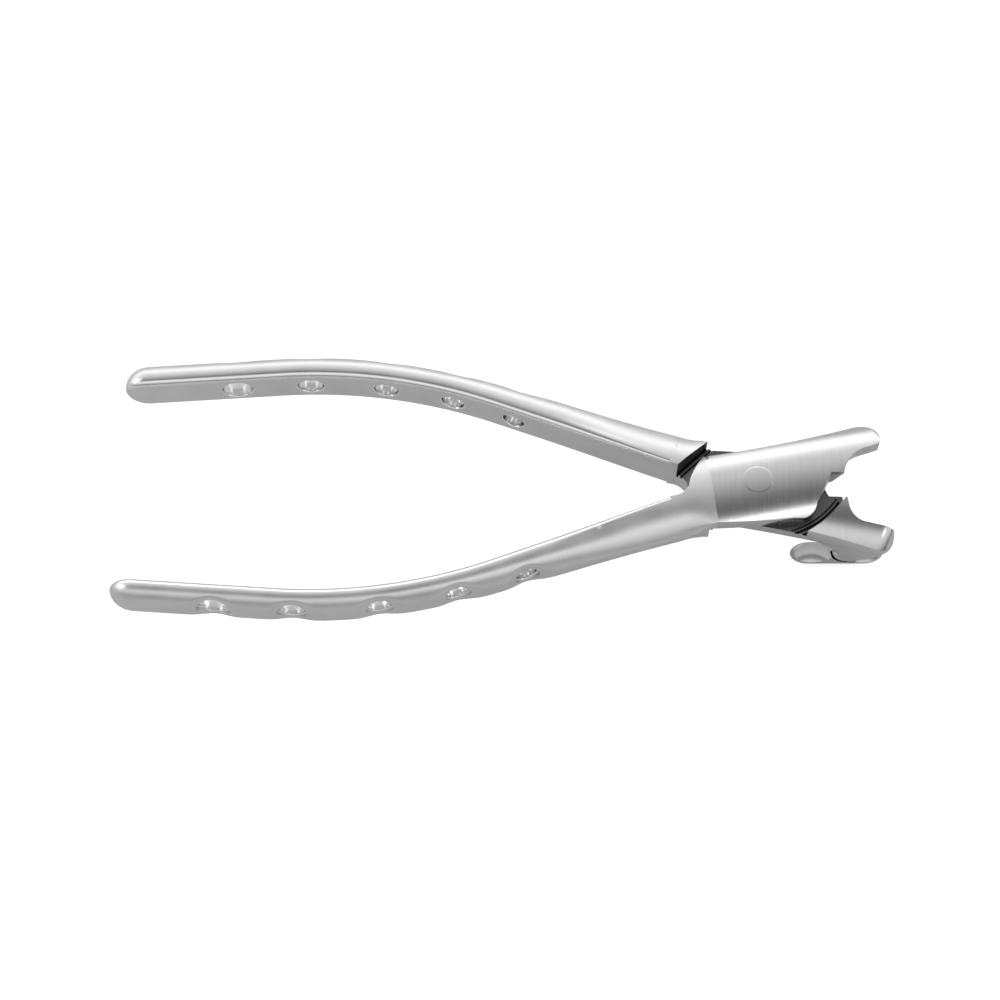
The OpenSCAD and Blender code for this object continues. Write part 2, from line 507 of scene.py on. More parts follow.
# Near-black finish of the relief grooves and of the crescent by the pad: painted shade standing in for the
# shadow in these narrow cuts.
GROOVE_PAINTED_SHADE = SteelFinish("groove_painted_shade", grey(0.02), grey(0.10), 0.40, 0.36, brush=0.9)


# ---- the shared blank ----------------------------------------------------------------------------


@dataclass(frozen=True)
class Dome:
    """The long round face of the joint, whose crest runs aslant through the pivot."""

    half: float = 5.75
    radius: float = 16.0
    slope: float = 10.5
    offset: float = 0.4

    def height(self, x: float, y: float) -> float:
        """Height of the face above the lapped faces.

        Args:
            x: place along the tool.
            y: place across it.

        Returns:
            The height, which stops falling where the face would turn under.
        """
        tilt = math.radians(self.slope)
        across = (y + self.offset) * math.cos(tilt) - x * math.sin(tilt)
        reach = min(abs(across), 0.97 * self.radius)
        return self.half - self.radius + math.sqrt(self.radius**2 - reach**2)


@dataclass(frozen=True)
class InnerFace:
    """The flat inner face of a grip in plan: a straight shank, a bend and a straight grip."""

    root: tuple[float, float] = (-20.0, -4.2)
    shank_len: float = 42.5
    shank_angle: float = 20.2
    bend_r: float = 120.0
    bend_turn: float = 24.0
    grip_len: float = 37.0

    @property
    def length(self) -> float:
        """Length of the whole face."""
        return self.shank_len + self.bend_r * math.radians(self.bend_turn) + self.grip_len

    def at(self, s: float) -> tuple[Vector, float]:
        """Follows the face.

        Args:
            s: distance from the root.

        Returns:
            The point in plan and the slope in radians.
        """
        lean = math.radians(self.shank_angle)
        bend = math.radians(self.bend_turn)
        turn = min(max((s - self.shank_len) / self.bend_r, 0.0), bend)
        slope = lean - turn
        shank = min(s, self.shank_len)
        beyond = max(0.0, s - self.length + self.grip_len)
        x = self.root[0] - shank * math.cos(lean) - self.bend_r * (math.sin(lean) - math.sin(slope))
        y = self.root[1] - shank * math.sin(lean) - self.bend_r * (math.cos(slope) - math.cos(lean))
        return Vector((x - beyond * math.cos(slope), y - beyond * math.sin(slope))), slope

    def along(self, x: float) -> float:
        """Finds how far from the root the face reaches x, by halving.

        Args:
            x: place along the tool.

        Returns:
            The distance from the root.
        """
        low, high = 0.0, self.length
        for _ in range(40):
            middle = (low + high) / 2
            if self.at(middle)[0].x > x:
                low = middle
            else:
                high = middle
        return low


@dataclass(frozen=True)
class Jaw:
    """The circles that shape a jaw in plan, its tip and the notch on its inner side, and its rounded end.

    Angles are in degrees. The back of the jaw meets the tip's circle at tip_meet, and tip_way is the
    direction in which the end rolls off by tip_deep over its last tip_round.
    """

    tip: Point
    tip_r: float
    notch: Point
    notch_r: float
    tip_meet: float = 106.0
    tip_from: float = 90.0
    tip_to: float = -20.0
    notch_from: float = 100.0
    notch_to: float = 165.0
    tip_way: float = 20.0
    tip_round: float = 0.6
    tip_deep: float = 0.5

    def drop(self, place: Vector) -> float:
        """How far the rounded end lowers the top of the jaw.

        Args:
            place: a point of the plan.

        Returns:
            The drop, 0 behind the rounded end.
        """
        way = math.radians(self.tip_way)
        forward = (place.xy - Vector(self.tip)).dot(Vector((math.cos(way), math.sin(way))))
        inside = max(0.0, self.tip_round - (self.tip_r - forward))
        inside = min(inside, 0.98 * self.tip_round)
        return self.tip_deep * (1 - math.sqrt(1 - (inside / self.tip_round)**2))


@dataclass(frozen=True)
class Undercut:
    """The beak's undercut back, which rises from the biting edge and leaves the heel beside it thin."""

    edge: Point = (21.6, 6.9)
    edge_lean: float = 18.0
    edge_height: float = 1.6
    slope: float = 62.0
    least: float = 1.3
    heel_from: float = 16.8
    heel_to: float = 20.2
    soften: float = 1.2

    def height(self, place: Vector, plain: float, top: float) -> float:
        """Height of the lower side of the jaw.

        Args:
            place: a point of the plan.
            plain: height of the lower side without the undercut.
            top: height of the upper side.

        Returns:
            The height with the undercut.
        """
        lean = math.radians(self.edge_lean)
        outward = (place.y - self.edge[1]) * math.cos(lean) - (place.x - self.edge[0]) * math.sin(lean)
        cut = min(self.edge_height - outward * math.tan(math.radians(self.slope)), top - self.least)
        share = ease(place.x, self.heel_from, self.heel_to)
        return plain + (-soft_min(-cut, -plain, self.soften) - plain) * share


@dataclass(frozen=True)
class Groove:
    """A narrow relief cut that follows a shoulder, from near to far beside it."""

    near: float
    far: float
    deep: float


@dataclass(frozen=True)
class Plate:
    """Plan of the joint plate between grip and jaw, and the shoulders that bound its lapped face."""

    crotch: Point = (-19.6, 0.4)
    crotch_r: float = 4.4
    inner_edge: tuple[Point, Point] = ((-15.3, 0.4), (-12.1, 6.9))
    back_start: Point = (-11.8, 7.0)
    heel: tuple[Point, Point] = ((19.7, 1.8), (16.7, 1.7))
    heel_edge: tuple[Point, Point] = ((16.3, 1.0), (13.4, -5.0))
    corner: Point = (9.8, -4.7)
    corner_r: float = 3.6
    belly: tuple[Point, Point] = ((8.0, -8.3), (-9.4, -9.8))
    grip_shoulder: tuple[Point, Point] = ((-11.9, -9.5), (-18.6, -3.2))
    jaw_shoulder: tuple[Point, Point] = ((9.1, 12.2), (19.7, 4.3))
    beyond_back: Point = (3.0, 16.5)
    beyond_heel: tuple[Point, Point] = ((26.0, 4.9), (26.0, -16.0))
    lap_gap: float = 0.1
    grip_grooves: tuple[Groove, ...] = (Groove(0.0, 0.45, 1.2), Groove(0.95, 1.35, 0.96))
    jaw_grooves: tuple[Groove, ...] = (
        Groove(0.0, 0.6, 1.2), Groove(1.1, 1.7, 0.96), Groove(2.1, 2.5, 0.4),
    )

    def outline(self, root_inner: Point, root_outer: Point, jaw: Jaw) -> Outline:
        """Plan of the plate and its jaw.

        Args:
            root_inner: where the grip's inner face starts.
            root_outer: where the grip's outer edge starts.
            jaw: the lever's jaw.

        Returns:
            The outline, anticlockwise.
        """
        meet = arc(jaw.tip, jaw.tip_r, jaw.tip_meet, jaw.tip_meet, 1)[0]
        clockwise = [root_inner]
        clockwise += arc(self.crotch, self.crotch_r, -80, -28, 5)
        clockwise += bow(*self.inner_edge, sag=0.2, steps=3)
        clockwise += bow(self.back_start, meet, sag=-0.8, steps=12)
        clockwise += arc(jaw.tip, jaw.tip_r, jaw.tip_from, jaw.tip_to, 14)
        clockwise += arc(jaw.notch, jaw.notch_r, jaw.notch_from, jaw.notch_to, 12)
        clockwise += self.heel
        clockwise += bow(*self.heel_edge, sag=0.1, steps=3)
        clockwise += arc(self.corner, self.corner_r, -12, -80, 7)
        clockwise += bow(*self.belly, sag=0.2, steps=6)
        clockwise += [root_outer]
        return clockwise[::-1]

    def grip_line(self, beside: float) -> Outline:
        """The straight shoulder by the grip, run out past both edges of the plate.

        Args:
            beside: how far towards the pivot the line is moved.

        Returns:
            Its two ends, from the belly to the crotch.
        """
        foot, top = (Vector(end) for end in self.grip_shoulder)
        run = (top - foot).normalized()
        inward = Vector((run.y, -run.x))
        ends = (foot - run * 9, top + run * 14)
        return [tuple(end + inward * beside) for end in ends]

    def jaw_line(self, beside: float) -> Outline:
        """The bowed shoulder by the jaw.

        Args:
            beside: how far towards the pivot the line is moved.

        Returns:
            Its points, from the back to the heel.
        """
        inward = Vector((-0.6, -0.8))
        return [tuple(Vector(p) + inward * beside) for p in bow(*self.jaw_shoulder, sag=1.1, steps=10)]

    def lap(self) -> Outline:
        """Plan of the half of the plate that is cut away for the other lever, clockwise."""
        return self.grip_line(0.0) + [self.beyond_back] + self.jaw_line(0.0) + list(self.beyond_heel)

    def grooves(self) -> list[tuple[Outline, float]]:
        """The plan, clockwise, and the depth of every relief cut."""
        cuts = [(self.grip_line(g.near) + self.grip_line(g.far)[::-1], g.deep) for g in self.grip_grooves]
        cuts += [(self.jaw_line(g.near) + self.jaw_line(g.far)[::-1], g.deep) for g in self.jaw_grooves]
        return cuts


@dataclass
class LeverBlank:
    """One forged lever, drawn with its grip at -Y and its jaw at +Y.

    The grip's section is a D with corners of corner_r. Towards the root it turns, over block_len, into the
    joint's domed block with corners of block_corner_r. The skin lies sunk below the dome's own height.
    """

    name: str
    turn: Turn
    jaw: Jaw
    grip_t: float
    scallop: float
    hole_x: tuple[float, ...]
    finish: SteelFinish
    end_hole_r: float = 3.4
    near_hole_r: float = 2.5
    grip_w: float = 11.4
    root_t: float = 9.3
    taper_len: float = 60.0
    end_round: float = 5.5
    corner_r: float = 1.8
    block_corner_r: float = 0.9
    block_len: float = 30.0
    rim_r: float = 0.45
    edge_r: float = 0.45
    groove_edge_r: float = 0.08
    grid: float = 0.45
    root_blend: float = 14.0
    root_flare: float = 0.001
    dip_half_width: float = 7.0
    dip_blend: float = 0.7
    sunk: float = 0.02
    undercut: Undercut | None = None
    face: InnerFace = field(default_factory=InnerFace)
    plate: Plate = field(default_factory=Plate)
    dome: Dome = field(default_factory=Dome)

    def thickness(self, s: float) -> float:
        """Thickness of the grip at a distance from its root."""
        rest = max(0.0, 1 - max(s, 0.0) / self.taper_len)
        return self.grip_t + (self.root_t - self.grip_t) * rest**1.3

    def lie(self, s: float) -> tuple[Vector, Vector]:
        """Where the inner face lies.

        Args:
            s: distance from the root.

        Returns:
            The point in plan and the direction outward from the face.
        """
        point, slope = self.face.at(s)
        return point, Vector((math.sin(slope), -math.cos(slope)))

    # -- grip --

    def dip(self, s: float) -> float:
        """Depth of the finger scallops.

        Args:
            s: distance from the root.

        Returns:
            How far the outer edge is dipped in.
        """
        depth = 0.0
        for x in self.hole_x:
            off = abs(s - self.face.along(x)) / self.dip_half_width
            if off < 1:
                depth = max(depth, self.scallop * (1 + math.cos(math.pi * off)) / 2)
        return depth

    def section(self, s: float) -> list[tuple[float, float]]:
        """Half of the grip's section, from the middle of its inner face over the top to its outer edge.

        Args:
            s: distance from the root.

        Returns:
            (distance outward, height) points.
        """
        t = self.thickness(s)
        half = self.grip_w / 2
        point, outward = self.lie(s)
        block = 1 - ease(s, 0.0, self.block_len)
        corner = self.corner_r + (self.block_corner_r - self.corner_r) * block
        limit = t - self.dip(s)
        points = [(0.0, (half - corner) * i / FLAT_STEPS) for i in range(FLAT_STEPS)]
        for i in range(CORNER_STEPS + 1):
            a = math.pi - math.pi / 2 * i / CORNER_STEPS
            points.append((corner * (1 + math.cos(a)), half - corner + corner * math.sin(a)))
        for i in range(1, BULGE_STEPS + 1):
            a = math.radians(90 - 90 / BULGE_STEPS * i)
            bulge = (corner + (t - corner) * math.cos(a), half * math.sin(a))
            u = corner + (t - corner) * max(0.0, math.cos(a)) ** 0.75
            place = point + outward * u
            boxed = (u, self.dome.height(place.x, place.y) * math.sin(a) ** 0.7)
            u, v = (b * block + d * (1 - block) for b, d in zip(boxed, bulge))
            points.append((soft_min(u, limit, self.dip_blend), v))
        return points

    def ring(self, s: float, shrink: float) -> list[Vector]:
        """The whole section in place.

        Args:
            s: distance from the root.
            shrink: factor by which it is drawn in towards the middle of its inner face.

        Returns:
            Its points in order round the grip.
        """
        point, outward = self.lie(s)
        upper = self.section(s)
        lower = [(u, -v) for u, v in reversed(upper[1:-1])]
        keep = self.thickness(s) / 4
        placed = []
        for u, v in upper + lower:
            reach = keep + (u - keep) * shrink
            placed.append(Vector((point.x + outward.x * reach, point.y + outward.y * reach, v * shrink)))
        return placed

    def grip(self) -> bpy.types.Object:
        """Sweeps the grip from inside the joint to its rounded end, and drills it.

        Returns:
            The grip as a closed solid.
        """
        straight = self.face.length - self.end_round
        stations = [(-1.5, 0.995), (-0.02, 0.995)]
        stations += [(straight * i / GRIP_RINGS, 1.0) for i in range(GRIP_RINGS + 1)]
        for i in range(1, END_RINGS):
            a = math.radians(90 * i / END_RINGS)
            stations.append((straight + self.end_round * math.sin(a), math.cos(a)))
        bm = bmesh.new()
        loop = [bm.verts.new(p) for p in self.ring(*stations[0])]
        place_in_ring = {v: i for i, v in enumerate(loop)}
        edges = list(bm.faces.new(loop).edges)
        for station in stations[1:]:
            grown = bmesh.ops.extrude_edge_only(bm, edges=edges)["geom"]
            fresh = {item for item in grown if isinstance(item, bmesh.types.BMVert)}
            edges = [e for e in grown if isinstance(e, bmesh.types.BMEdge) and set(e.verts) <= fresh]
            follows = {}
            for v in fresh:
                follows.update({e.other_vert(v): v for e in v.link_edges if e.other_vert(v) not in fresh})
            loop = [follows[v] for v in loop]
            for i, (v, place) in enumerate(zip(loop, self.ring(*station))):
                v.co = place
                place_in_ring[v] = i
        bm.faces.new(loop)
        self.mark_burnish_and_highlight(bm, place_in_ring)
        bmesh.ops.recalc_face_normals(bm, faces=bm.faces)
        # The third finish makes the grip's corners lighter: burnish plus painted highlight.
        finishes = [self.finish, POLISHED_WALL, BURNISH_AND_HIGHLIGHT]
        bar = make_object(bm, f"{self.name}_grip", [finish.material() for finish in finishes])
        last = len(self.hole_x) - 1
        for i, x in enumerate(self.hole_x):
            radius = self.end_hole_r + (self.near_hole_r - self.end_hole_r) * (i / last) ** 0.5
            combine(bar, self.hole_cutter(x, radius), Cut.REMOVE)
        return bar

    def mark_burnish_and_highlight(self, bm: bmesh.types.BMesh, place_in_ring: dict[bmesh.types.BMVert, int]) -> None:
        """Gives the rounded corners of the inner face the burnished finish, whose lighter colour is partly a
        painted highlight.

        Args:
            bm: the swept grip.
            place_in_ring: index of each vertex in its ring.
        """
        count = max(place_in_ring.values()) + 1
        upper = range(FLAT_STEPS + 1, FLAT_STEPS + CORNER_STEPS)
        burnished_and_lit = set(upper) | {count - i for i in upper}
        for f in bm.faces:
            if len(f.verts) == 4 and all(place_in_ring[v] in burnished_and_lit for v in f.verts):
                f.material_index = 2

    def hole_cutter(self, x: float, radius: float) -> bpy.types.Object:
        """The shape that one hole removes, flared at both mouths.

        Args:
            x: where the hole opens on the inner face.
            radius: radius of its wall.

        Returns:
            A turned solid in place, with its wall in the second material.
        """
        s = self.face.along(x)
        mouth = self.thickness(s) - self.dip(s)
        rim = self.rim_r
        wide = radius + rim
        below, above, clear = -3.0, mouth + 6.0, 0.03
        turns = [math.radians(15 * i) for i in range(7)]
        profile = [(0.0, below), (wide, below)]
        profile += [(wide - rim * math.sin(a), rim - rim * math.cos(a) - clear) for a in turns]
        profile += [(wide - rim * math.cos(a), mouth - rim + rim * math.sin(a)) for a in turns]
        profile += [(wide, above), (0.0, above)]
        bm = turned(profile, ROUND_STEPS)
        for f in bm.faces:
            middle = f.calc_center_median()
            f.material_index = 1 if math.hypot(middle.x, middle.y) < radius + 0.9 * rim else 0
        point, slope = self.face.at(s)
        lay = Matrix.Translation((point.x, point.y, 0)) @ Matrix.Rotation(slope, 4, "Z")
        bm.transform(lay @ Matrix.Rotation(math.pi / 2, 4, "X"))
        return make_object(bm, "hole_cutter", [self.finish.material(), POLISHED_WALL.material()])

    # -- joint and jaw --

    def head(self) -> bpy.types.Object:
        """Makes the joint plate and jaw: cut flat from a block, edges rounded, then drawn up onto the domes.

        Returns:
            The head as a closed solid.
        """
        half = self.dome.half
        point, outward = self.lie(0.0)
        outer = point + outward * self.thickness(0.0)
        plan = self.plate.outline(tuple(point), tuple(outer), self.jaw)
        block = make_object(prism(plan, -half, half), f"{self.name}_head", [self.finish.material()])
        # The lapped face is left dark: real residue plus painted shade from the plate lying over it.
        self.cut(block, self.plate.lap(), low=-9.0, high=self.plate.lap_gap / 2, finish=LAPPED_RESIDUE_AND_SHADE)
        # The relief grooves keep a near-black finish: painted shade for the shadow inside them.
        for groove, deep in self.plate.grooves():
            self.cut(block, groove, low=-1.0, high=deep, finish=GROOVE_PAINTED_SHADE)

        bm = bmesh.new()
        bm.from_mesh(block.data)
        bmesh.ops.remove_doubles(bm, verts=bm.verts, dist=1e-4)
        bmesh.ops.dissolve_limit(
            bm, angle_limit=math.radians(0.5), verts=bm.verts, edges=bm.edges, delimit={"MATERIAL"},
        )
        edges = [e for e in sharp_edges(bm, 35) if not self.on_root(e)]
        inside = [e for e in edges if all(abs(v.co.z) < half - 0.1 for v in e.verts)]
        outside = [e for e in edges if all(abs(v.co.z) > half - 0.1 for v in e.verts)]
        round_edges(bm, outside, self.edge_r, segments=4)
        fine = [e for e in inside if e.is_valid and not self.on_root(e)]
        round_edges(bm, fine, self.groove_edge_r, segments=1)
        rule_grid(bm, self.grid)
        for v in bm.verts:
            v.co.z = self.drawn_height(v.co)
        bmesh.ops.dissolve_degenerate(bm, dist=1e-4, edges=bm.edges)
        bm.to_mesh(block.data)
        bm.free()
        return block

    def cut(self, block: bpy.types.Object, plan: Outline, low: float, high: float,
            finish: SteelFinish) -> None:
        """Mills a plan shape out of the block and leaves its faces in a finish.

        Args:
            block: the flat block.
            plan: the shape, clockwise.
            low: lower end of the cut.
            high: upper end of the cut.
            finish: finish of the faces it leaves.
        """
        tool = make_object(prism(plan[::-1], low, high), "mill", [finish.material()])
        combine(block, tool, Cut.REMOVE)

    def on_root(self, edge: bmesh.types.BMEdge) -> bool:
        """Tells the edges in the plane where the grip starts, which stay sharp.

        Args:
            edge: an edge of the head.

        Returns:
            Whether it lies in that plane.
        """
        inner, slope = self.face.at(0.0)
        along = Vector((math.cos(slope), math.sin(slope)))
        return all(abs((v.co.xy - inner).dot(along)) < 0.01 for v in edge.verts)

    def drawn_height(self, place: Vector) -> float:
        """Draws the flat block between the back and front faces.

        Args:
            place: a point of the flat block.

        Returns:
            Its new height.
        """
        plain = min(self.dome.height(place.x, place.y) - self.sunk, self.root_limit(place))
        top = plain - self.jaw.drop(place)
        bottom = self.undercut.height(place, -plain, top) if self.undercut else -top
        share = (place.z + self.dome.half) / (2 * self.dome.half)
        return bottom + share * (top - bottom)

    def root_limit(self, place: Vector) -> float:
        """Brings the block's section over into the grip's section where the two meet.

        Args:
            place: a point of the plan.

        Returns:
            The greatest height of the block there.
        """
        inner, slope = self.face.at(0.0)
        offset = place.xy - inner
        forward = offset.x * math.cos(slope) + offset.y * math.sin(slope)
        outward = offset.x * math.sin(slope) - offset.y * math.cos(slope)
        free = ease(forward, 0.0, self.root_blend)
        if free >= 1 or outward < 0:
            return self.dome.half
        outer_half = self.section(0.0)[FLAT_STEPS + CORNER_STEPS:]
        outward /= 1 + self.root_flare * forward**2
        height = 0.0
        for (u0, v0), (u1, v1) in zip(outer_half, outer_half[1:]):
            if u0 <= outward <= u1:
                height = v0 + (v1 - v0) * (outward - u0) / (u1 - u0)
        if outward < outer_half[0][0]:
            height = outer_half[0][1]
        return height + (self.dome.half - height) * free

    def build(self) -> bpy.types.Object:
        """Builds the lever in its own frame.

        Returns:
            Head and grip in one closed skin.
        """
        body = self.head()
        combine(body, self.grip(), Cut.JOIN)
        body.name = self.name
        return body


def place_piece(made: bpy.types.Object, turn: Turn, lap_height: float) -> None:
    """Puts a finished piece into the shared frame, in metres.

    Args:
        made: the piece, in millimetres about the lapped faces.
        turn: how it lies in the tool.
        lap_height: height of the lapped faces in the frame, in metres.
    """
    lift = Matrix.Translation((0, 0, lap_height))
    made.data.transform(lift @ Matrix.Scale(MM, 4) @ Matrix.Rotation(turn.value, 4, "X"))
    made.data.update()
    for polygon in made.data.polygons:
        polygon.use_smooth = True
    made.data.set_sharp_from_angle(angle=math.radians(38))


# ---- the pieces ----------------------------------------------------------------------------------


@dataclass
class FrontLever:
    """Lower-left grip, front half of the joint and the beak."""

    lap_height: float
    blank: LeverBlank = field(default_factory=lambda: LeverBlank(
        name="front_lever_skin", turn=Turn.AS_DRAWN,
        jaw=Jaw(tip=(24.2, 10.9), tip_r=4.3, notch=(27.2, 1.2), notch_r=7.4),
        grip_t=5.4, scallop=1.85, root_t=8.9, hole_x=(-122.5, -105.0, -86.0, -69.0, -54.0),
        finish=FRONT_STEEL, undercut=Undercut(),
    ))

    def build(self) -> bpy.types.Object:
        """Builds the lever and puts it in place of its plain node.

        Returns:
            The finished piece.
        """
        made = self.blank.build()
        place_piece(made, self.blank.turn, self.lap_height)
        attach(made, "front")
        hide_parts("front_lever")
        return made


@dataclass
class RearLever:
    """Upper-left grip, back half of the joint and the jaw with its neck and cross pad."""

    lap_height: float
    blank: LeverBlank = field(default_factory=lambda: LeverBlank(
        name="rear_lever_skin", turn=Turn.HALF_TURN,
        jaw=Jaw(tip=(27.45, 12.6), tip_r=3.2, notch=(25.2, 5.2), notch_r=4.9, tip_round=3.2, tip_deep=3.4),
        grip_t=6.6, scallop=1.0, hole_x=(-119.5, -102.5, -85.0, -69.5, -55.5),
        finish=REAR_STEEL, face=InnerFace(grip_len=36.2),
    ))
    pad_len: float = 21.5
    pad_h: float = 8.55
    pad_t: float = 4.0
    pad_middle: Place = (19.3, 10.6, 12.2)
    dish_r: float = 8.0
    dish_deep: float = 1.2
    dish_lean: float = 35.0
    dish_x: float = 6.3
    neck_t: float = 4.0
    wall_at: Place = (11.8, 11.3, -2.7)
    wall_rise: float = 0.288
    wall_fall: float = 0.079
    wall_gap: float = 0.05
    crescent_r: float = 5.2

    def neck(self) -> bpy.types.Object:
        """Makes the tapering neck that carries the pad, in the blank's frame, where the pad's side is +Z.

        Returns:
            The neck, whose outer face follows the jaw's outer wall.
        """
        side = [(13.5, 1.0), (14.6, 5.0), (16.6, 6.0), (18.0, 7.4), (19.0, 9.2), (19.7, 11.0)]
        side += [(20.4, 12.1), (21.6, 12.3), (22.8, 11.3), (25.0, 8.4), (27.0, 5.0), (28.2, 2.0), (27.6, 1.0)]
        bm = bmesh.new()
        corners = [bm.verts.new((x, 0, z)) for x, z in side]
        base = bm.faces.new(corners)
        grown = bmesh.ops.extrude_face_region(bm, geom=[base])
        inner = [item for item in grown["geom"] if isinstance(item, bmesh.types.BMVert)]
        bmesh.ops.translate(bm, verts=inner, vec=(0, -self.neck_t, 0))
        bmesh.ops.recalc_face_normals(bm, faces=bm.faces)
        round_edges(bm, sharp_edges(bm, 60), 0.7, 4)
        x, y, z = self.wall_at
        for v in bm.verts:
            v.co.y += y + self.wall_rise * (v.co.x - x) - self.wall_fall * (v.co.z - z) - self.wall_gap
        return make_object(bm, "neck", [self.blank.finish.material()])

    def pad(self) -> bpy.types.Object:
        """Makes the cross pad: a rounded bar, dished on its outer face either side of the neck.

        Returns:
            The pad as a closed solid.
        """
        bm = bmesh.new()
        bmesh.ops.create_uvsphere(bm, u_segments=72, v_segments=47, radius=self.pad_h / 2)
        bmesh.ops.rotate(bm, verts=bm.verts, cent=(0, 0, 0), matrix=Matrix.Rotation(math.pi / 2, 3, "Y"))
        stretch = (self.pad_len - self.pad_h) / 2
        for v in bm.verts:
            v.co.x += math.copysign(stretch, v.co.x)
            v.co.y *= self.pad_t / self.pad_h
        bmesh.ops.translate(bm, verts=bm.verts, vec=self.pad_middle)
        bar = make_object(bm, "pad", [self.blank.finish.material()])
        for side in (-1, 1):
            ball = bmesh.new()
            bmesh.ops.create_uvsphere(ball, u_segments=96, v_segments=96, radius=self.dish_r)
            x, y, z = self.pad_middle
            reach = self.pad_t / 2 - self.dish_deep + self.dish_r
            lean = math.radians(self.dish_lean)
            middle = (x + side * self.dish_x, y + reach * math.cos(lean), z - reach * math.sin(lean))
            bmesh.ops.translate(ball, verts=ball.verts, vec=middle)
            # The dishes take the lighter burnished finish, partly a painted highlight.
            combine(bar, make_object(ball, "dish", [BURNISH_AND_HIGHLIGHT.material()]), Cut.REMOVE)
        return bar

    def crescent(self) -> bpy.types.Object:
        """Makes the cutter of the curved corner between the neck and the far lobe of the pad; its faces are
        left near-black as painted shadow.

        Returns:
            The cutter, a sliver between two equal circles set a little apart.
        """
        plan = arc((22.5, 8.0), self.crescent_r, 190, 80, 16)
        plan += arc((22.95, 7.55), self.crescent_r, 80, 190, 16)
        bm = prism(plan[::-1], -14.0, -11.5)
        bm.transform(Matrix.Rotation(math.pi / 2, 4, "X"))
        bmesh.ops.recalc_face_normals(bm, faces=bm.faces)
        # The crescent's faces are near-black: painted shadow between the neck and the pad.
        return make_object(bm, "crescent", [GROOVE_PAINTED_SHADE.material()])

    def build(self) -> bpy.types.Object:
        """Builds the lever with its neck and pad and puts it in place of its plain node.

        Returns:
            The finished piece.
        """
        made = self.blank.build()
        combine(made, self.neck(), Cut.JOIN)
        combine(made, self.pad(), Cut.JOIN)
        combine(made, self.crescent(), Cut.REMOVE)
        place_piece(made, self.blank.turn, self.lap_height)
        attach(made, "rear")
        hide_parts("rear_lever")
        return made


@dataclass
class PivotRivet:
    """The flush rivet, whose closed heads follow the domes."""

    lap_height: float
    shank_r: float = 2.5
    head_r: float = 3.4
    sink: float = 1.6
    rim_r: float = 0.06
    dome: Dome = field(default_factory=Dome)

    def build(self) -> bpy.types.Object:
        """Turns the rivet, draws its heads onto the domes and puts it in place of its plain node.

        Returns:
            The finished piece.
        """
        half = self.dome.half
        rings = [self.head_r * i / 6 for i in range(7)]
        profile = [(r, -half) for r in rings]
        profile += [(self.shank_r, self.sink - half), (self.shank_r, half - self.sink)]
        profile += [(r, half) for r in reversed(rings)]
        bm = turned(profile, ROUND_STEPS)
        round_edges(bm, sharp_edges(bm, 45), self.rim_r, 2)
        for v in bm.verts:
            sign = 1 if v.co.z > 0 else -1
            height = self.dome.height(v.co.x, v.co.y * sign)
            v.co.z *= height / half
        made = make_object(bm, "pivot_rivet_skin", [RIVET_STEEL.material()])
        place_piece(made, Turn.AS_DRAWN, self.lap_height)
        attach(made, "front")
        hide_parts("pivot_rivet")
        return made


# ---- the studio ----------------------------------------------------------------------------------


@dataclass(frozen=True)
class Lamp:
    """A square soft lamp in metres and watts, aimed at the tool."""

    name: str
    place: Place
    power: float
    size: float

    def hang(self) -> None:
        """Adds the lamp to the scene."""
        data = bpy.data.lights.new(self.name, "AREA")
        data.energy = self.power
        data.size = self.size
        lamp = bpy.data.objects.new(self.name, data)
        lamp.location = self.place
        way = Vector((-0.05, 0, 0)) - Vector(self.place)
        lamp.rotation_euler = way.to_track_quat("-Z", "Y").to_euler()
        bpy.context.scene.collection.objects.link(lamp)


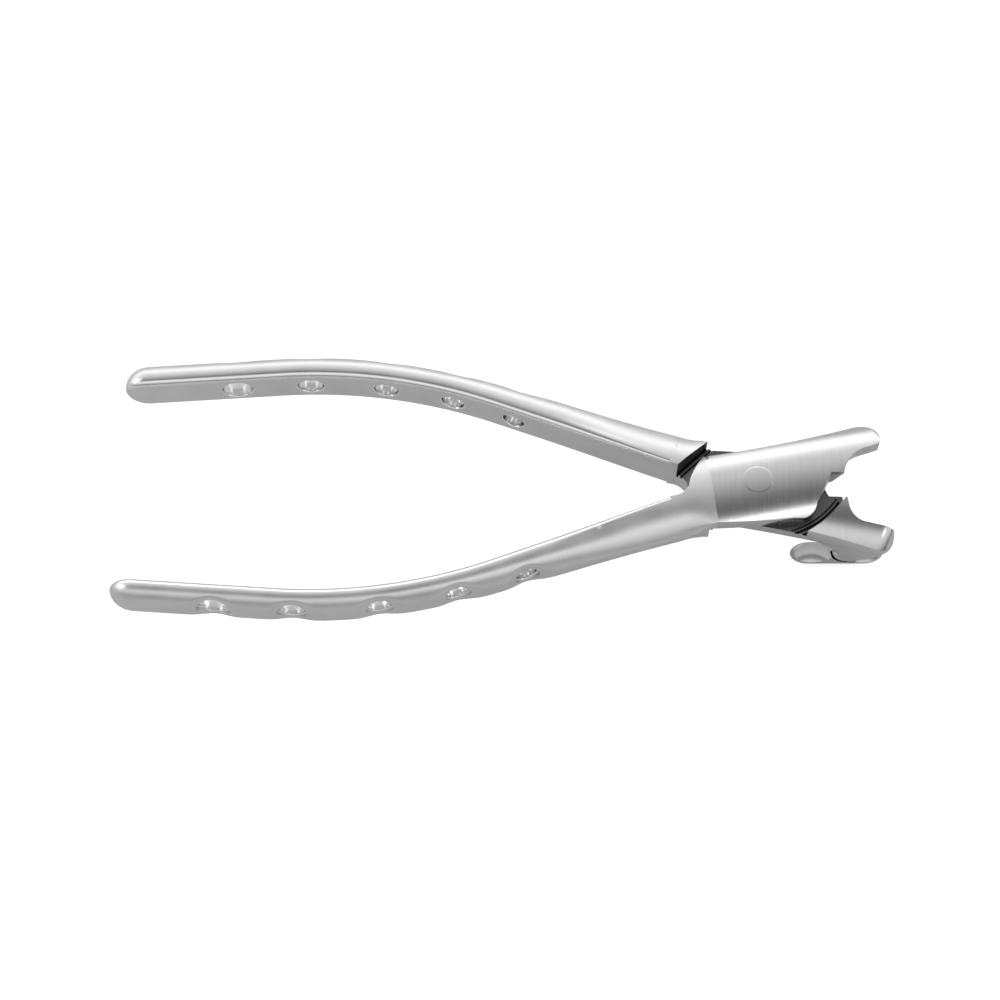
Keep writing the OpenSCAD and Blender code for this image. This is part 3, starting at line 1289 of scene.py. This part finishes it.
@dataclass
class Studio:
    """Pale floor, soft light from all round, and the camera.

    The sky is a list of directions, in degrees from overhead towards the back, and their brightness.
    """

    floor_height: float
    lap_height: float
    aim: Point = (-58.5, -2.65)
    distance: float = 600.0
    elevation: float = 66.0
    lens: float = 94.6
    floor_glow: float = 0.7
    sky_strength: float = 1.6
    sky: tuple[Point, ...] = (
        (-90, 0.10), (-76, 0.14), (-64, 0.42), (-46, 0.62), (-35, 0.55), (-28, 0.22), (-20, 0.10),
        (-10, 0.115), (-2, 0.15), (8, 0.235), (20, 0.33), (32, 0.44), (42, 0.52), (52, 0.54), (62, 0.78),
        (70, 1.15), (80, 1.1), (90, 0.6),
    )
    lights: tuple[Lamp, ...] = (
        Lamp("left", (-2.0, 0.1, 1.3), 12.0, 1.2),
        Lamp("right", (2.0, 0.1, 1.3), 12.0, 1.2),
        Lamp("front", (0.48, -0.85, 1.15), 0.5, 0.3),
    )

    def camera(self) -> None:
        """Sets the camera above the tool's near side, looking down at it."""
        data = bpy.data.cameras.new("camera")
        data.lens = self.lens
        data.sensor_width = 36.0
        data.clip_start = 0.01
        data.clip_end = 20.0
        camera = bpy.data.objects.new("camera", data)
        tilt = math.radians(self.elevation)
        target = Vector((self.aim[0] * MM, self.aim[1] * MM, self.lap_height))
        back = Vector((0, -math.cos(tilt), math.sin(tilt))) * self.distance * MM
        camera.location = target + back
        camera.rotation_euler = (math.pi / 2 - tilt, 0, 0)
        bpy.context.scene.collection.objects.link(camera)
        bpy.context.scene.camera = camera

    def floor(self) -> None:
        """Lays a wide pale floor under the tool."""
        bm = bmesh.new()
        bmesh.ops.create_grid(bm, x_segments=1, y_segments=1, size=3.0)
        bmesh.ops.translate(bm, verts=bm.verts, vec=(0, 0, self.floor_height))
        pale = bpy.data.materials.new("floor")
        pale.use_nodes = True
        sheet = Sheet(pale.node_tree)
        shader = sheet.add("ShaderNodeBsdfPrincipled")
        sheet.feed(shader, "Base Color", (0.62, 0.62, 0.62, 1))
        sheet.feed(shader, "Roughness", 0.9)
        sheet.feed(shader, "Emission Color", (1, 1, 1, 1))
        seen = sheet.add("ShaderNodeLightPath").outputs["Is Camera Ray"]
        sheet.feed(shader, "Emission Strength", sheet.sum("MULTIPLY", seen, self.floor_glow))
        out = sheet.add("ShaderNodeOutputMaterial")
        sheet.feed(out, "Surface", shader.outputs[0])
        make_object(bm, "floor", [pale])

    def world(self) -> None:
        """Sets a sky whose brightness depends only on how far a direction leans from overhead."""
        world = bpy.data.worlds.new("studio")
        bpy.context.scene.world = world
        world.use_nodes = True
        sheet = Sheet(world.node_tree)
        way = sheet.add("ShaderNodeTexCoord").outputs["Generated"]
        split = sheet.add("ShaderNodeSeparateXYZ")
        sheet.feed(split, 0, way)
        lean = sheet.sum("ARCTAN2", split.outputs[1], split.outputs[2])
        ramp = sheet.add("ShaderNodeValToRGB")
        sheet.feed(ramp, 0, sheet.sum("MULTIPLY_ADD", lean, 1 / math.pi, 0.5, clamp=True))
        elements = ramp.color_ramp.elements
        elements[1].position = 0.999
        for degrees, _ in self.sky[1:-1]:
            elements.new(degrees / 180 + 0.5)
        for stop, (_, level) in zip(elements, self.sky):
            stop.color = (level, level, level, 1)
        glow = sheet.add("ShaderNodeBackground")
        sheet.feed(glow, "Color", ramp.outputs[0])
        sheet.feed(glow, "Strength", self.sky_strength)
        out = sheet.add("ShaderNodeOutputWorld")
        sheet.feed(out, "Surface", glow.outputs[0])

    def build(self) -> None:
        """Builds the whole studio."""
        bpy.context.scene.view_settings.view_transform = "Standard"
        self.camera()
        self.floor()
        self.world()
        for lamp in self.lights:
            lamp.hang()


def main() -> None:
    """Builds the studio and the three pieces."""
    logging.basicConfig(level=logging.INFO, format="%(name)s: %(message)s")
    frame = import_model()
    pivot = frame["joints"][0]
    lap_height = pivot["pos_m"][2]
    low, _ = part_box("rear_lever")
    Studio(floor_height=low[2] - 0.0002, lap_height=lap_height).build()
    for maker in (FrontLever(lap_height), RearLever(lap_height), PivotRivet(lap_height)):
        made = maker.build()
        log.info("%s: %d faces", made.name, len(made.data.polygons))


if __name__ == "__main__":
    main()
